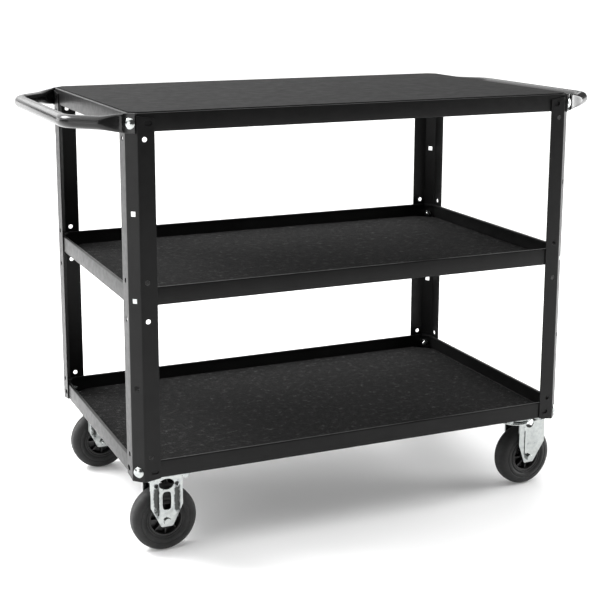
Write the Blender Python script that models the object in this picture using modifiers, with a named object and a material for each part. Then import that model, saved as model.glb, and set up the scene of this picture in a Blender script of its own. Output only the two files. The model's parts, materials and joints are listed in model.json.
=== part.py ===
"""Three-shelf steel utility cart on two fixed and two swivel casters.

Frame: metres, +Z up, origin on the floor under the middle of the cart.
+X runs along the length towards the swivel casters, +Y towards the rear.
"""
import math

import bmesh
import bpy
from mathutils import Matrix, Vector

NAME = "utility_cart"

# Corner posts: folded strips with a 45 degree face at each corner of the cart.
LENGTH = 0.910
WIDTH = 0.552
POST_BOTTOM = 0.1555
POST_TOP = 0.820
POST_SHEET = 0.002
POST_BEND = 0.003
CHAMFER_LEG = 0.0178
SIDE_FLANGE = 0.0336
FRONT_FLANGE = 0.0306
FLANGE_END_CUT = 0.0045
SQUARE_HOLE = 0.009
SQUARE_HOLE_HEIGHTS = (0.1735, 0.332, 0.493, 0.649, 0.8075)
ROUND_HOLE_RADIUS = 0.0045
ROUND_HOLE_HEIGHTS = (0.202, 0.4555, 0.5265, 0.7795)
ROUND_HOLE_FROM_CORNER = (0.0124, 0.0162)
SLOT_HEIGHTS = (0.1735, 0.8075)
SLOT_LENGTH = 0.015
SLOT_HEIGHT = 0.0085
SLOT_FROM_CORNER = (0.0192, 0.0222)

# Shelves: folded trays inside the posts. The top one is turned over.
FIT = 0.0003
TRAY_SHEET = 0.0015
TRAY_FOLD = 0.0025
LIP_HEIGHT = 0.033
HEM_WIDTH = 0.006
HEM_DROP = 0.004
BOTTOM_TRAY_Z = 0.1597
MIDDLE_TRAY_Z = 0.4832
TOP_TRAY_Z = 0.8250
CARPET_THICKNESS = 0.006
CARPET_INSET = 0.0085
CARPET_CORNER_CUT = 0.046
TOP_MAT_THICKNESS = 0.0015
TOP_MAT_INSET = 0.004

# Corner fasteners.
BOLT_HEIGHTS = {"bottom": 0.1735, "top": 0.8075}
BOLT_RADIUS = 0.004
BOLT_LENGTH = 0.025
BOLT_HEAD_RADIUS = 0.010
BOLT_HEAD_HEIGHT = 0.0046
BOLT_NECK = 0.0084
BOLT_NECK_LENGTH = 0.0045
NUT_FLATS = 0.013
NUT_THICKNESS = 0.0065
STUD_HEIGHT = 0.493
STUD_LENGTH = 0.018
STUD_HEAD = 0.0022
HOLE_RADIUS = 0.0043

# End handles: tube with flattened ends bolted on the posts' 45 degree faces.
TUBE_RADIUS = 0.012
HANDLE_REACH = 0.542
HANDLE_BEND = 0.052
HANDLE_Z = 0.8075
TAB_HALF_THICKNESS = 0.002
TAB_OVERHANG = 0.0095
TAB_FLAT_END = 0.010
TAB_ROUND_START = 0.056

# Casters.
FIXED_X = -0.388
FIXED_Y = 0.223
SWIVEL_X = 0.386
SWIVEL_Y = 0.216
TRAIL = 0.0215
SWIVEL_REST_ANGLE = math.radians(5.0)
WHEEL_RADIUS = 0.0625
TREAD_HALF = 0.0185
RIM_RADIUS = 0.033
PLATE_LENGTH = 0.085
PLATE_WIDTH = 0.090
PLATE_SHEET = 0.003
PLATE_HOLE_X = 0.0335
PLATE_HOLE_Y = 0.0355
FORK_SHEET = 0.003
FORK_HALF_WIDTH = 0.025
FORK_BEND = 0.006
FORK_TIP_DROP = 0.0095
FORK_SHOULDER_Z = 0.092
CROWN_TOP = 0.145
FORK_BACK = 0.026
FORK_FRONT = 0.039
CROWN_RADIUS = 0.035
RACE_RADIUS = 0.034
AXLE_RADIUS = 0.006
BORE_RADIUS = 0.0062
HUB_HALF = 0.0205

FINE = 28
COARSE = 12

parts = None
cutters = None


def clear_scene():
    """Empty the scene and make the two collections."""
    global parts, cutters
    for obj in list(bpy.data.objects):
        bpy.data.objects.remove(obj, do_unlink=True)
    parts = bpy.data.collections.new(NAME)
    cutters = bpy.data.collections.new("cutters")
    for collection in (parts, cutters):
        bpy.context.scene.collection.children.link(collection)


def finish(name, colour, roughness, metallic):
    """Principled material with one colour."""
    mat = bpy.data.materials.new(name)
    mat.use_nodes = True
    shader = mat.node_tree.nodes["Principled BSDF"]
    shader.inputs["Base Color"].default_value = (*colour, 1.0)
    shader.inputs["Roughness"].default_value = roughness
    shader.inputs["Metallic"].default_value = metallic
    return mat


def powder_coat():
    return finish("black_powder_coat", (0.022, 0.022, 0.023), 0.5, 0.0)


def gloss_black():
    return finish("gloss_black_tube", (0.014, 0.014, 0.015), 0.18, 0.0)


def zinc():
    return finish("bright_zinc", (0.72, 0.73, 0.74), 0.28, 1.0)


def rubber():
    return finish("black_rubber", (0.035, 0.035, 0.036), 0.7, 0.0)


def plastic():
    return finish("black_plastic", (0.008, 0.008, 0.008), 0.45, 0.0)


def carpet():
    return finish("charcoal_carpet", (0.018, 0.018, 0.019), 0.95, 0.0)


def smooth_mat():
    return finish("dark_grey_mat", (0.055, 0.055, 0.056), 0.6, 0.0)


def new_object(name, bm, material=None, matrix=None, parent=None):
    """Turn a bmesh into an object; without a material it becomes a cutter."""
    mesh = bpy.data.meshes.new(name)
    bm.to_mesh(mesh)
    bm.free()
    obj = bpy.data.objects.new(name, mesh)
    if material is None:
        obj.hide_render = True
        obj.display_type = "WIRE"
        cutters.objects.link(obj)
    else:
        mesh.materials.append(material)
        mesh.shade_smooth()
        mesh.set_sharp_from_angle(angle=math.radians(32))
        parts.objects.link(obj)
    if parent is not None:
        obj.parent = parent
    if matrix is not None:
        obj.matrix_local = matrix
    return obj


def pivot(name, location, angle=0.0, parent=None):
    """Empty on a joint's axis, which carries the pieces that turn about it."""
    empty = bpy.data.objects.new(name, None)
    empty.empty_display_size = 0.03
    parts.objects.link(empty)
    empty.parent = parent
    empty.location = location
    empty.rotation_euler = (0.0, 0.0, angle)
    return empty


def solidify(obj, thickness):
    modifier = obj.modifiers.new("sheet", "SOLIDIFY")
    modifier.thickness = thickness
    modifier.offset = -1.0
    modifier.use_even_offset = True


def boolean(obj, tool, operation):
    modifier = obj.modifiers.new(operation.lower(), "BOOLEAN")
    modifier.operation = operation
    modifier.object = tool


def rounded(points, radius, steps, closed):
    """Plan outline with each corner replaced by an arc."""
    count = len(points)
    path = []
    for i, corner in enumerate(points):
        if not closed and i in (0, count - 1):
            path.append(Vector(corner))
            continue
        corner = Vector(corner)
        before = (Vector(points[i - 1]) - corner).normalized()
        after = (Vector(points[(i + 1) % count]) - corner).normalized()
        half = before.angle(after) / 2
        centre = corner + (before + after).normalized() * radius / math.sin(half)
        start = corner + before * radius / math.tan(half) - centre
        end = corner + after * radius / math.tan(half) - centre
        for step in range(steps + 1):
            spoke = start.lerp(end, step / steps).normalized() * radius
            path.append(centre + spoke)
    return path


def octagon(inset, extra_cut=0.0):
    """Outline of a shelf, counter-clockwise, set in from the posts' inner faces."""
    gap = POST_SHEET + FIT
    a = LENGTH / 2 - gap - inset
    b = WIDTH / 2 - gap - inset
    cut = CHAMFER_LEG - (gap + inset) * (2 - math.sqrt(2)) + extra_cut
    corners = [(a, cut - b), (a, b - cut), (a - cut, b), (cut - a, b)]
    corners += [(-a, b - cut), (-a, cut - b), (cut - a, -b), (a - cut, -b)]
    return rounded([(x, y, 0.0) for x, y in corners], 0.002, 1, True)


def add_box(bm, size, matrix):
    bmesh.ops.create_cube(bm, size=1.0, matrix=matrix @ Matrix.Diagonal((*size, 1.0)))


def add_cylinder(bm, radius, depth, matrix, segments=COARSE):
    bmesh.ops.create_cone(
        bm, cap_ends=True, segments=segments, radius1=radius, radius2=radius,
        depth=depth, matrix=matrix)


def add_slot(bm, matrix):
    """Slot cutter along local X with round ends, pointing along local Z."""
    mesh = bmesh.new()
    add_cylinder(mesh, SLOT_HEIGHT / 2, 0.02, Matrix.Identity(4))
    half = (SLOT_LENGTH - SLOT_HEIGHT) / 2
    for vert in mesh.verts:
        vert.co.x += math.copysign(half, vert.co.x) if abs(vert.co.x) > 1e-6 else half
        vert.co = matrix @ vert.co
    data = bpy.data.meshes.new("slot")
    mesh.to_mesh(data)
    mesh.free()
    bm.from_mesh(data)
    bpy.data.meshes.remove(data)


def at(x, y, z):
    return Matrix.Translation((x, y, z))


def along_y():
    """Turn local Z onto Y."""
    return Matrix.Rotation(math.radians(-90), 4, "X")


def along_x():
    """Turn local Z onto X."""
    return Matrix.Rotation(math.radians(90), 4, "Y")


def corner_frame(sx, sy, z):
    """Frame on a post's 45 degree face: X level on the face, Y up, Z outwards."""
    middle = CHAMFER_LEG / 2
    out = Vector((sx, sy, 0.0)).normalized()
    up = Vector((0.0, 0.0, 1.0))
    level = up.cross(out)
    turn = Matrix((level, up, out)).transposed().to_4x4()
    return at(sx * (LENGTH / 2 - middle), sy * (WIDTH / 2 - middle), z) @ turn


def add_prism(bm, outline, low_y, high_y):
    """Closed prism along Y from an outline in the XZ plane."""
    near = [bm.verts.new((x, low_y, z)) for x, z in outline]
    far = [bm.verts.new((x, high_y, z)) for x, z in outline]
    bm.faces.new(near)
    bm.faces.new(list(reversed(far)))
    for i in range(len(outline)):
        j = (i + 1) % len(outline)
        bm.faces.new((near[i], far[i], far[j], near[j]))
    bmesh.ops.recalc_face_normals(bm, faces=bm.faces)


def leg_prism(name, outline, matrix, parent):
    """Cutter from a side view, wide enough for both legs."""
    bm = bmesh.new()
    add_prism(bm, outline, -0.05, 0.05)
    return new_object(name, bm, None, matrix, parent)


def turned(name, profile, material, matrix, parent=None, closed=False, steps=FINE):
    """Revolve an (r, z) profile, listed down its outer side, about local Z."""
    bm = bmesh.new()
    verts = [bm.verts.new((r, 0.0, z)) for r, z in profile]
    for a, b in zip(verts, verts[1:]):
        bm.edges.new((a, b))
    if closed:
        bm.edges.new((verts[-1], verts[0]))
    obj = new_object(name, bm, material, matrix, parent)
    screw = obj.modifiers.new("turn", "SCREW")
    screw.steps = steps
    screw.render_steps = steps
    screw.use_merge_vertices = True
    screw.merge_threshold = 0.00001
    return obj


def post_cutter(name, sx, sy):
    """All the holes of one post."""
    bm = bmesh.new()
    for z in SQUARE_HOLE_HEIGHTS:
        add_box(bm, (SQUARE_HOLE, SQUARE_HOLE, 0.02), corner_frame(sx, sy, z))
    start_x = LENGTH / 2 - CHAMFER_LEG
    start_y = WIDTH / 2 - CHAMFER_LEG
    for z in ROUND_HOLE_HEIGHTS:
        x = sx * (start_x - ROUND_HOLE_FROM_CORNER[0])
        y = sy * (start_y - ROUND_HOLE_FROM_CORNER[1])
        add_cylinder(bm, ROUND_HOLE_RADIUS, 0.02, at(x, sy * WIDTH / 2, z) @ along_y())
        add_cylinder(bm, ROUND_HOLE_RADIUS, 0.02, at(sx * LENGTH / 2, y, z) @ along_x())
    for z in SLOT_HEIGHTS:
        x = sx * (start_x - SLOT_FROM_CORNER[0])
        y = sy * (start_y - SLOT_FROM_CORNER[1])
        add_slot(bm, at(x, sy * WIDTH / 2, z) @ along_y())
        add_slot(bm, at(sx * LENGTH / 2, y, z) @ along_y() @ Matrix.Rotation(math.pi / 2, 4, "Y"))
    return new_object(name + "_holes", bm)


def post(name, sx, sy, material):
    """Corner post: side flange, 45 degree face and front flange in one strip."""
    x, y = LENGTH / 2, WIDTH / 2
    plan = [(x, y - CHAMFER_LEG - SIDE_FLANGE), (x, y - CHAMFER_LEG)]
    plan += [(x - CHAMFER_LEG, y), (x - CHAMFER_LEG - FRONT_FLANGE, y)]
    path = rounded([(px * sx, py * sy, 0.0) for px, py in plan], POST_BEND, 2, False)
    if sx * sy < 0:
        path.reverse()
    bm = bmesh.new()
    rows = []
    for i, p in enumerate(path):
        cut = FLANGE_END_CUT if i in (0, len(path) - 1) else 0.0
        low = bm.verts.new((p.x, p.y, POST_BOTTOM + cut))
        high = bm.verts.new((p.x, p.y, POST_TOP - cut))
        rows.append((low, high))
    for (low_a, high_a), (low_b, high_b) in zip(rows, rows[1:]):
        bm.faces.new((low_a, low_b, high_b, high_a))
    obj = new_object(name, bm, material)
    solidify(obj, POST_SHEET)
    boolean(obj, post_cutter(name, sx, sy), "DIFFERENCE")
    return obj


def tray(name, floor_z, lip, material):
    """Folded tray; lip is positive for a tray and negative for a turned-over one."""
    side = 1.0 if lip > 0 else -1.0
    rim = floor_z + lip
    fold = TRAY_FOLD
    section = [(HEM_WIDTH, rim - side * HEM_DROP), (HEM_WIDTH, rim)]
    section += [(0.001, rim), (0.0, rim - side * 0.001)]
    section += [(0.0, floor_z + side * fold), (fold, floor_z)]
    bm = bmesh.new()
    rings = []
    for inset, z in section:
        rings.append([bm.verts.new((p.x, p.y, z)) for p in octagon(inset)])
    for upper, lower in zip(rings, rings[1:]):
        for i in range(len(upper)):
            j = (i + 1) % len(upper)
            bm.faces.new((upper[i], lower[i], lower[j], upper[j]))
    bm.faces.new(list(reversed(rings[-1])))
    if lip < 0:
        bmesh.ops.reverse_faces(bm, faces=bm.faces)
    obj = new_object(name, bm, material)
    solidify(obj, TRAY_SHEET)
    return obj


def corner_holes(name, z, square):
    """Cutter with one fastener hole through each corner of a shelf or handle."""
    bm = bmesh.new()
    for sx, sy in CORNERS.values():
        frame = corner_frame(sx, sy, z)
        if square:
            add_box(bm, (SQUARE_HOLE, SQUARE_HOLE, 0.03), frame)
        else:
            add_cylinder(bm, HOLE_RADIUS, 0.03, frame)
    return new_object(name, bm)


def flat_mat(name, outline, low, thickness, material):
    """Flat sheet between two heights."""
    bm = bmesh.new()
    top = low + thickness
    bm.faces.new([bm.verts.new((p.x, p.y, top)) for p in outline])
    obj = new_object(name, bm, material)
    solidify(obj, thickness)
    return obj


def tube_section(radius):
    """Half heights and offsets of a tube squeezed to a slot with round ends."""
    spread = math.pi * (TUBE_RADIUS - radius) / 2
    points = []
    for end in (1.0, -1.0):
        for step in range(8):
            angle = math.pi * step / 7
            across = radius * math.cos(angle) * end
            points.append((across, end * (spread + radius * math.sin(angle))))
    return points


def handle_stations(side):
    """Centre, outward direction and squeeze radius along one end handle."""
    mid = CHAMFER_LEG / 2
    root = Vector((side * (LENGTH / 2 - mid), mid - WIDTH / 2, 0.0))
    run = Vector((side, 1.0, 0.0)).normalized()
    out = Vector((side, -1.0, 0.0)).normalized()
    stations = []
    squeeze = [(-TAB_OVERHANG, 0.0), (TAB_FLAT_END, 0.0), (TAB_FLAT_END + 0.003, 0.22)]
    for step in range(1, 5):
        t = step / 4
        u = TAB_FLAT_END + 0.003 + t * (TAB_ROUND_START - TAB_FLAT_END - 0.003)
        squeeze.append((u, 0.22 + 0.78 * t * t * (3 - 2 * t)))
    for u, openness in squeeze:
        radius = TAB_HALF_THICKNESS + openness * (TUBE_RADIUS - TAB_HALF_THICKNESS)
        stations.append((root + run * u + out * (FIT + radius), out, radius))
    foot = root + out * (FIT + TUBE_RADIUS)
    length = (HANDLE_REACH - abs(foot.x)) / abs(run.x)
    corner = foot + run * length
    tangent = HANDLE_BEND * math.tan(math.radians(22.5))
    centre = corner + Vector((0.0, tangent, 0.0)) - Vector((side * HANDLE_BEND, 0.0, 0.0))
    for step in range(5):
        angle = math.radians(-45 + 11.25 * step)
        spoke = Vector((side * math.cos(angle), math.sin(angle), 0.0))
        stations.append((centre + spoke * HANDLE_BEND, spoke, TUBE_RADIUS))
    rear = []
    for place, spoke, radius in reversed(stations):
        flipped = Vector((place.x, -place.y, 0.0))
        rear.append((flipped, Vector((spoke.x, -spoke.y, 0.0)), radius))
    return stations + rear


def handle(name, side, material):
    """Loft from flat tab to round tube, round the end and back to a flat tab."""
    bm = bmesh.new()
    rings = []
    for place, out, radius in handle_stations(side):
        ring = []
        for across, up in tube_section(radius):
            p = place + out * across
            ring.append(bm.verts.new((p.x, p.y, HANDLE_Z + up)))
        rings.append(ring)
    for near, far in zip(rings, rings[1:]):
        for i in range(len(near)):
            j = (i + 1) % len(near)
            bm.faces.new((near[i], near[j], far[j], far[i]))
    bm.faces.new(rings[0])
    bm.faces.new(list(reversed(rings[-1])))
    bmesh.ops.recalc_face_normals(bm, faces=bm.faces)
    return new_object(name, bm, material)


def carriage_bolt(name, matrix, material):
    """Domed head, square neck and plain shank, head outwards along local Z."""
    head = BOLT_HEAD_RADIUS
    profile = [(0.0, BOLT_HEAD_HEIGHT)]
    for step in range(1, 3):
        angle = math.radians(90 - 36 * step)
        profile.append((head * math.cos(angle), BOLT_HEAD_HEIGHT * math.sin(angle)))
    profile += [(head, 0.0), (BOLT_RADIUS, 0.0)]
    profile += [(BOLT_RADIUS, 0.0007 - BOLT_LENGTH), (BOLT_RADIUS - 0.0007, -BOLT_LENGTH)]
    profile += [(0.0, -BOLT_LENGTH)]
    obj = turned(name, profile, material, matrix, steps=14)
    bm = bmesh.new()
    add_box(bm, (BOLT_NECK, BOLT_NECK, BOLT_NECK_LENGTH), at(0.0, 0.0, 0.0002 - BOLT_NECK_LENGTH / 2))
    boolean(obj, new_object(name + "_neck", bm, None, matrix), "UNION")
    return obj


def hex_nut(name, matrix, material, parent=None):
    """Hexagonal nut round local Z, with its seat at the origin, running down -Z."""
    bm = bmesh.new()
    flats_level = Matrix.Rotation(math.pi / 6, 4, "Z")
    middle = at(0, 0, -NUT_THICKNESS / 2) @ flats_level
    add_cylinder(bm, NUT_FLATS / math.sqrt(3), NUT_THICKNESS, middle, 6)
    obj = new_object(name, bm, material, matrix, parent)
    bore = bmesh.new()
    add_cylinder(bore, HOLE_RADIUS, 0.02, Matrix.Identity(4))
    boolean(obj, new_object(name + "_bore", bore, None, matrix, parent), "DIFFERENCE")
    return obj


def weld_stud(name, matrix, material):
    """Stud with a square head that fills the post's hole, flush with its face."""
    profile = [(0.0, -0.001), (BOLT_RADIUS, -0.001), (BOLT_RADIUS, 0.0007 - STUD_LENGTH)]
    profile += [(BOLT_RADIUS - 0.0007, -STUD_LENGTH), (0.0, -STUD_LENGTH)]
    obj = turned(name, profile, material, matrix, steps=COARSE)
    bm = bmesh.new()
    add_box(bm, (BOLT_NECK, BOLT_NECK, STUD_HEAD), at(0.0, 0.0, -STUD_HEAD / 2))
    boolean(obj, new_object(name + "_head", bm, None, matrix), "UNION")


def corner_fasteners(corner, sx, sy, material):
    """Carriage bolts at the top and bottom shelf, flush stud at the middle one."""
    nut_seat = POST_SHEET + TRAY_SHEET + 2 * FIT
    for level, z in BOLT_HEIGHTS.items():
        face = corner_frame(sx, sy, z)
        stack = FIT
        if level == "top":
            stack = 2 * TAB_HALF_THICKNESS + 2 * FIT
        carriage_bolt(f"bolt_{level}_{corner}", face @ at(0, 0, stack), material)
        hex_nut(f"nut_{level}_{corner}", face @ at(0, 0, -nut_seat), material)
    face = corner_frame(sx, sy, STUD_HEIGHT)
    weld_stud(f"stud_middle_{corner}", face, material)
    hex_nut(f"nut_middle_{corner}", face @ at(0, 0, -nut_seat), material)


def tyre(name, material, parent):
    """Solid tyre with rounded shoulders and a stepped side wall."""
    half = [(WHEEL_RADIUS, 0.0080), (0.0603, 0.0132), (0.0550, 0.0170)]
    half += [(0.0480, TREAD_HALF), (RIM_RADIUS + FIT, 0.0168)]
    upper = [(r, z) for r, z in reversed(half)]
    lower = [(r, -z) for r, z in half]
    return turned(name, upper + lower, material, along_y(), parent, closed=True)


def hub(name, material, parent):
    """Hub with a boss, a thin web, a rim and six ribs."""
    half = [(RIM_RADIUS, 0.0155), (0.0285, 0.0155), (0.0270, 0.0040), (0.0125, 0.0040)]
    half += [(0.0112, HUB_HALF), (BORE_RADIUS, HUB_HALF)]
    upper = [(r, z) for r, z in reversed(half)]
    lower = [(r, -z) for r, z in half]
    obj = turned(name, upper + lower, material, along_y(), parent, closed=True, steps=20)
    bm = bmesh.new()
    for step in range(3):
        turn = Matrix.Rotation(math.pi * step / 3, 4, "Y")
        for sign in (-1, 1):
            add_box(bm, (0.0175, 0.020, 0.0030), turn @ at(sign * 0.0195, 0, 0))
    boolean(obj, new_object(name + "_ribs", bm, None, Matrix.Identity(4), parent), "UNION")
    return obj


def axle(name, outward, material, parent):
    """Axle bolt with a spacer sleeve between the fork legs; head on the outer side."""
    inner = FORK_HALF_WIDTH - FORK_SHEET - FIT
    head = FORK_HALF_WIDTH + FIT
    end = FORK_HALF_WIDTH + 0.0105
    profile = [(0.0, head + 0.001), (BOLT_RADIUS, head + 0.001), (BOLT_RADIUS, inner)]
    profile += [(AXLE_RADIUS, inner), (AXLE_RADIUS, -inner), (BOLT_RADIUS, -inner)]
    profile += [(BOLT_RADIUS, 0.0007 - end), (BOLT_RADIUS - 0.0007, -end), (0.0, -end)]
    lay = along_y() if outward > 0 else along_y() @ Matrix.Rotation(math.pi, 4, "X")
    obj = turned(name, profile, material, lay, parent, steps=COARSE)
    bm = bmesh.new()
    add_cylinder(bm, NUT_FLATS / math.sqrt(3), 0.0053, at(0, 0, head + 0.0053 / 2), 6)
    boolean(obj, new_object(name + "_head", bm, None, lay, parent), "UNION")
    seat = lay @ at(0, 0, -FORK_HALF_WIDTH - FIT)
    hex_nut(name.replace("axle", "axle_nut"), seat, material, parent)
    return obj


def wheel(corner, sy, holder, wheel_pivot):
    """Tyre and hub on the wheel's pivot, axle and nut on what holds the wheel."""
    tyre(f"tyre_{corner}", rubber(), wheel_pivot)
    hub(f"hub_{corner}", plastic(), wheel_pivot)
    axle(f"axle_{corner}", sy, zinc(), holder)


def channel(low_x, high_x, top, bottom, name, material, matrix, parent):
    """Sheet bent into an upside-down U across Y, closed along X."""
    w = FORK_HALF_WIDTH
    profile = [(0.0, -w, bottom), (0.0, -w, top), (0.0, w, top), (0.0, w, bottom)]
    path = rounded(profile, FORK_BEND, 3, False)
    bm = bmesh.new()
    near = [bm.verts.new((low_x, p.y, p.z)) for p in path]
    far = [bm.verts.new((high_x, p.y, p.z)) for p in path]
    for i in range(len(path) - 1):
        bm.faces.new((near[i], near[i + 1], far[i + 1], far[i]))
    bmesh.ops.reverse_faces(bm, faces=bm.faces)
    obj = new_object(name, bm, material, matrix, parent)
    solidify(obj, FORK_SHEET)
    return obj


def oval(centre_x, centre_z, half_x, half_z, waist=0.0, power=1.0):
    """Outline of an oval; a waist and a power under 1 make it a keyhole window."""
    outline = []
    for step in range(16):
        angle = 2 * math.pi * step / 16
        height = math.sin(angle)
        half = half_x * (1.0 - waist * (1.0 - height * height))
        x = half * math.copysign(abs(math.cos(angle)) ** power, math.cos(angle))
        outline.append((centre_x + x, centre_z + half_z * height))
    return outline


def plate_cutter(bm, height):
    """Add a mounting plate's four bolt holes to a cutter."""
    for x in (-PLATE_HOLE_X, PLATE_HOLE_X):
        for y in (-PLATE_HOLE_Y, PLATE_HOLE_Y):
            add_cylinder(bm, HOLE_RADIUS, 0.02, at(x, y, height))


def leg_cutter(name, axle_x, grooves, matrix, parent):
    """Axle hole, plus plate holes and pressed grooves as each kind of leg has them."""
    axle_z = WHEEL_RADIUS - BOTTOM_TRAY_Z
    bm = bmesh.new()
    add_cylinder(bm, HOLE_RADIUS, 0.08, at(axle_x, 0, axle_z) @ along_y())
    if grooves:
        for sy in (-1, 1):
            for sx in (-1, 1):
                y = sy * (FORK_HALF_WIDTH + 0.0005)
                add_box(bm, (0.0080, 0.0030, 0.0560), at(sx * 0.0175, y, -0.0580))
        plate_cutter(bm, 0.0)
    else:
        for sy in (-1, 1):
            y = sy * (FORK_HALF_WIDTH + 0.0005)
            add_box(bm, (0.0030, 0.0030, 0.0600), at(axle_x - 0.0125, y, -0.0610))
    return new_object(name, bm, None, matrix, parent)


def fold_notches(name, outline, matrix, parent):
    """Opening through the fold at the top of each leg."""
    bm = bmesh.new()
    for middle in (-FORK_HALF_WIDTH, FORK_HALF_WIDTH):
        add_prism(bm, outline, middle - FORK_BEND, middle + FORK_BEND)
    return new_object(name, bm, None, matrix, parent)


def leg_outline(axle_x, back, front):
    """Side view of a fork leg, tapering to a blunt tip under the axle."""
    tip_z = WHEEL_RADIUS - FORK_TIP_DROP - BOTTOM_TRAY_Z
    shoulder = FORK_SHOULDER_Z - BOTTOM_TRAY_Z
    outline = [(axle_x - back, 0.01), (axle_x - back, shoulder), (axle_x - 0.0125, tip_z)]
    outline += [(axle_x - 0.0105, tip_z - 0.0015), (axle_x + 0.0105, tip_z - 0.0015)]
    outline += [(axle_x + 0.0125, tip_z), (axle_x + front, shoulder), (axle_x + front, 0.01)]
    return outline


def plate_box(name, matrix, parent, material=None):
    """Mounting plate just under the bottom shelf."""
    bm = bmesh.new()
    add_box(bm, (PLATE_LENGTH, PLATE_WIDTH, PLATE_SHEET), at(0, 0, -FIT - PLATE_SHEET / 2))
    return new_object(name, bm, material, matrix, parent)


def fixed_caster(corner, sy):
    """Rigid bracket with its wheel. The bracket's frame sits on the shelf's underside."""
    frame = at(FIXED_X, sy * FIXED_Y, BOTTOM_TRAY_Z)
    name = f"fixed_bracket_{corner}"
    top = -FIT - PLATE_SHEET + 0.0005
    obj = channel(-0.0315, 0.0315, top, -0.115, name, zinc(), frame, None)
    side = leg_outline(0.0, 0.0313, 0.0313)
    boolean(obj, leg_prism(name + "_outline", side, frame, None), "INTERSECT")
    boolean(obj, plate_box(name + "_plate", frame, None), "UNION")
    boolean(obj, leg_cutter(name + "_holes", 0.0, True, frame, None), "DIFFERENCE")
    window = oval(0.0, 0.1025 - BOTTOM_TRAY_Z, 0.0103, 0.0175, 0.18, 0.5)
    boolean(obj, leg_prism(name + "_window", window, frame, None), "DIFFERENCE")
    notch = oval(0.0, 0.1350 - BOTTOM_TRAY_Z, 0.0150, 0.0105)
    boolean(obj, fold_notches(name + "_notches", notch, frame, None), "DIFFERENCE")
    holder = pivot(f"axle_seat_{corner}", (FIXED_X, sy * FIXED_Y, WHEEL_RADIUS))
    turn = pivot(f"wheel_pivot_{corner}", (FIXED_X, sy * FIXED_Y, WHEEL_RADIUS))
    wheel(corner, sy, holder, turn)


def swivel_plate(corner, frame):
    """Top plate with its riveted king pin."""
    name = f"swivel_plate_{corner}"
    obj = plate_box(name, frame, None, zinc())
    low = CROWN_TOP - FORK_SHEET - BOTTOM_TRAY_Z - 0.0006
    bm = bmesh.new()
    add_cylinder(bm, 0.0080, 0.0200, at(0, 0, low + 0.0060), 20)
    boolean(obj, new_object(name + "_pin", bm, None, frame), "UNION")
    head = bmesh.new()
    add_cylinder(head, 0.0120, 0.0055, at(0, 0, low - 0.0055 / 2), 20)
    boolean(obj, new_object(name + "_pin_head", head, None, frame), "UNION")
    holes = bmesh.new()
    plate_cutter(holes, 0.0)
    boolean(obj, new_object(name + "_holes", holes, None, frame), "DIFFERENCE")


def swivel_bearing(corner, turn):
    """Pressed ball race between the plate and the fork's crown."""
    high = -FIT - PLATE_SHEET - FIT
    low = CROWN_TOP - BOTTOM_TRAY_Z + FIT
    middle = (high + low) / 2
    edge = RACE_RADIUS - 0.002
    profile = [(0.009, high), (edge - 0.005, high), (edge, high - 0.0015), (RACE_RADIUS, middle)]
    profile += [(edge, low + 0.0015), (edge - 0.005, low), (0.009, low)]
    turned(f"swivel_bearing_{corner}", profile, zinc(), Matrix.Identity(4), turn, closed=True, steps=24)


def swivel_fork(corner, turn):
    """Fork that trails behind its king pin, with a round crown."""
    name = f"swivel_fork_{corner}"
    crown = CROWN_TOP - BOTTOM_TRAY_Z
    level = Matrix.Identity(4)
    low_x = TRAIL - FORK_BACK - 0.0002
    high_x = TRAIL + FORK_FRONT + 0.0002
    obj = channel(low_x, high_x, crown, -0.115, name, zinc(), level, turn)
    side = leg_outline(TRAIL, FORK_BACK, FORK_FRONT)
    boolean(obj, leg_prism(name + "_outline", side, level, turn), "INTERSECT")
    bm = bmesh.new()
    add_cylinder(bm, CROWN_RADIUS, FORK_SHEET, at(0, 0, crown - FORK_SHEET / 2), 24)
    boolean(obj, new_object(name + "_crown", bm, None, level, turn), "UNION")
    boolean(obj, leg_cutter(name + "_holes", TRAIL, False, level, turn), "DIFFERENCE")
    notch = oval(TRAIL, crown - 0.0055, 0.0110, 0.0125)
    boolean(obj, fold_notches(name + "_notches", notch, level, turn), "DIFFERENCE")
    bore = bmesh.new()
    add_cylinder(bore, 0.0090, 0.02, at(0, 0, crown), 20)
    boolean(obj, new_object(name + "_bore", bore, None, level, turn), "DIFFERENCE")


def swivel_caster(corner, sy, angle):
    """Plate on the cart, fork and wheel on the king pin's axis."""
    place = (SWIVEL_X, sy * SWIVEL_Y, BOTTOM_TRAY_Z)
    swivel_plate(corner, at(*place))
    turn = pivot(f"swivel_pivot_{corner}", place, angle)
    swivel_bearing(corner, turn)
    swivel_fork(corner, turn)
    centre = (TRAIL, 0.0, WHEEL_RADIUS - BOTTOM_TRAY_Z)
    holder = pivot(f"axle_seat_{corner}", centre, 0.0, turn)
    wheel_turn = pivot(f"wheel_pivot_{corner}", centre, 0.0, turn)
    wheel(corner, sy, holder, wheel_turn)


CORNERS = {
    "front_left": (-1, -1),
    "front_right": (1, -1),
    "rear_left": (-1, 1),
    "rear_right": (1, 1),
}


def build_shelves():
    bottom = tray("shelf_bottom", BOTTOM_TRAY_Z, LIP_HEIGHT, powder_coat())
    boolean(bottom, corner_holes("shelf_bottom_corners", BOLT_HEIGHTS["bottom"], True), "DIFFERENCE")
    middle = tray("shelf_middle", MIDDLE_TRAY_Z, LIP_HEIGHT, powder_coat())
    boolean(middle, corner_holes("shelf_middle_corners", STUD_HEIGHT, False), "DIFFERENCE")
    top = tray("shelf_top", TOP_TRAY_Z, -LIP_HEIGHT, powder_coat())
    boolean(top, corner_holes("shelf_top_corners", BOLT_HEIGHTS["top"], True), "DIFFERENCE")


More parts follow.
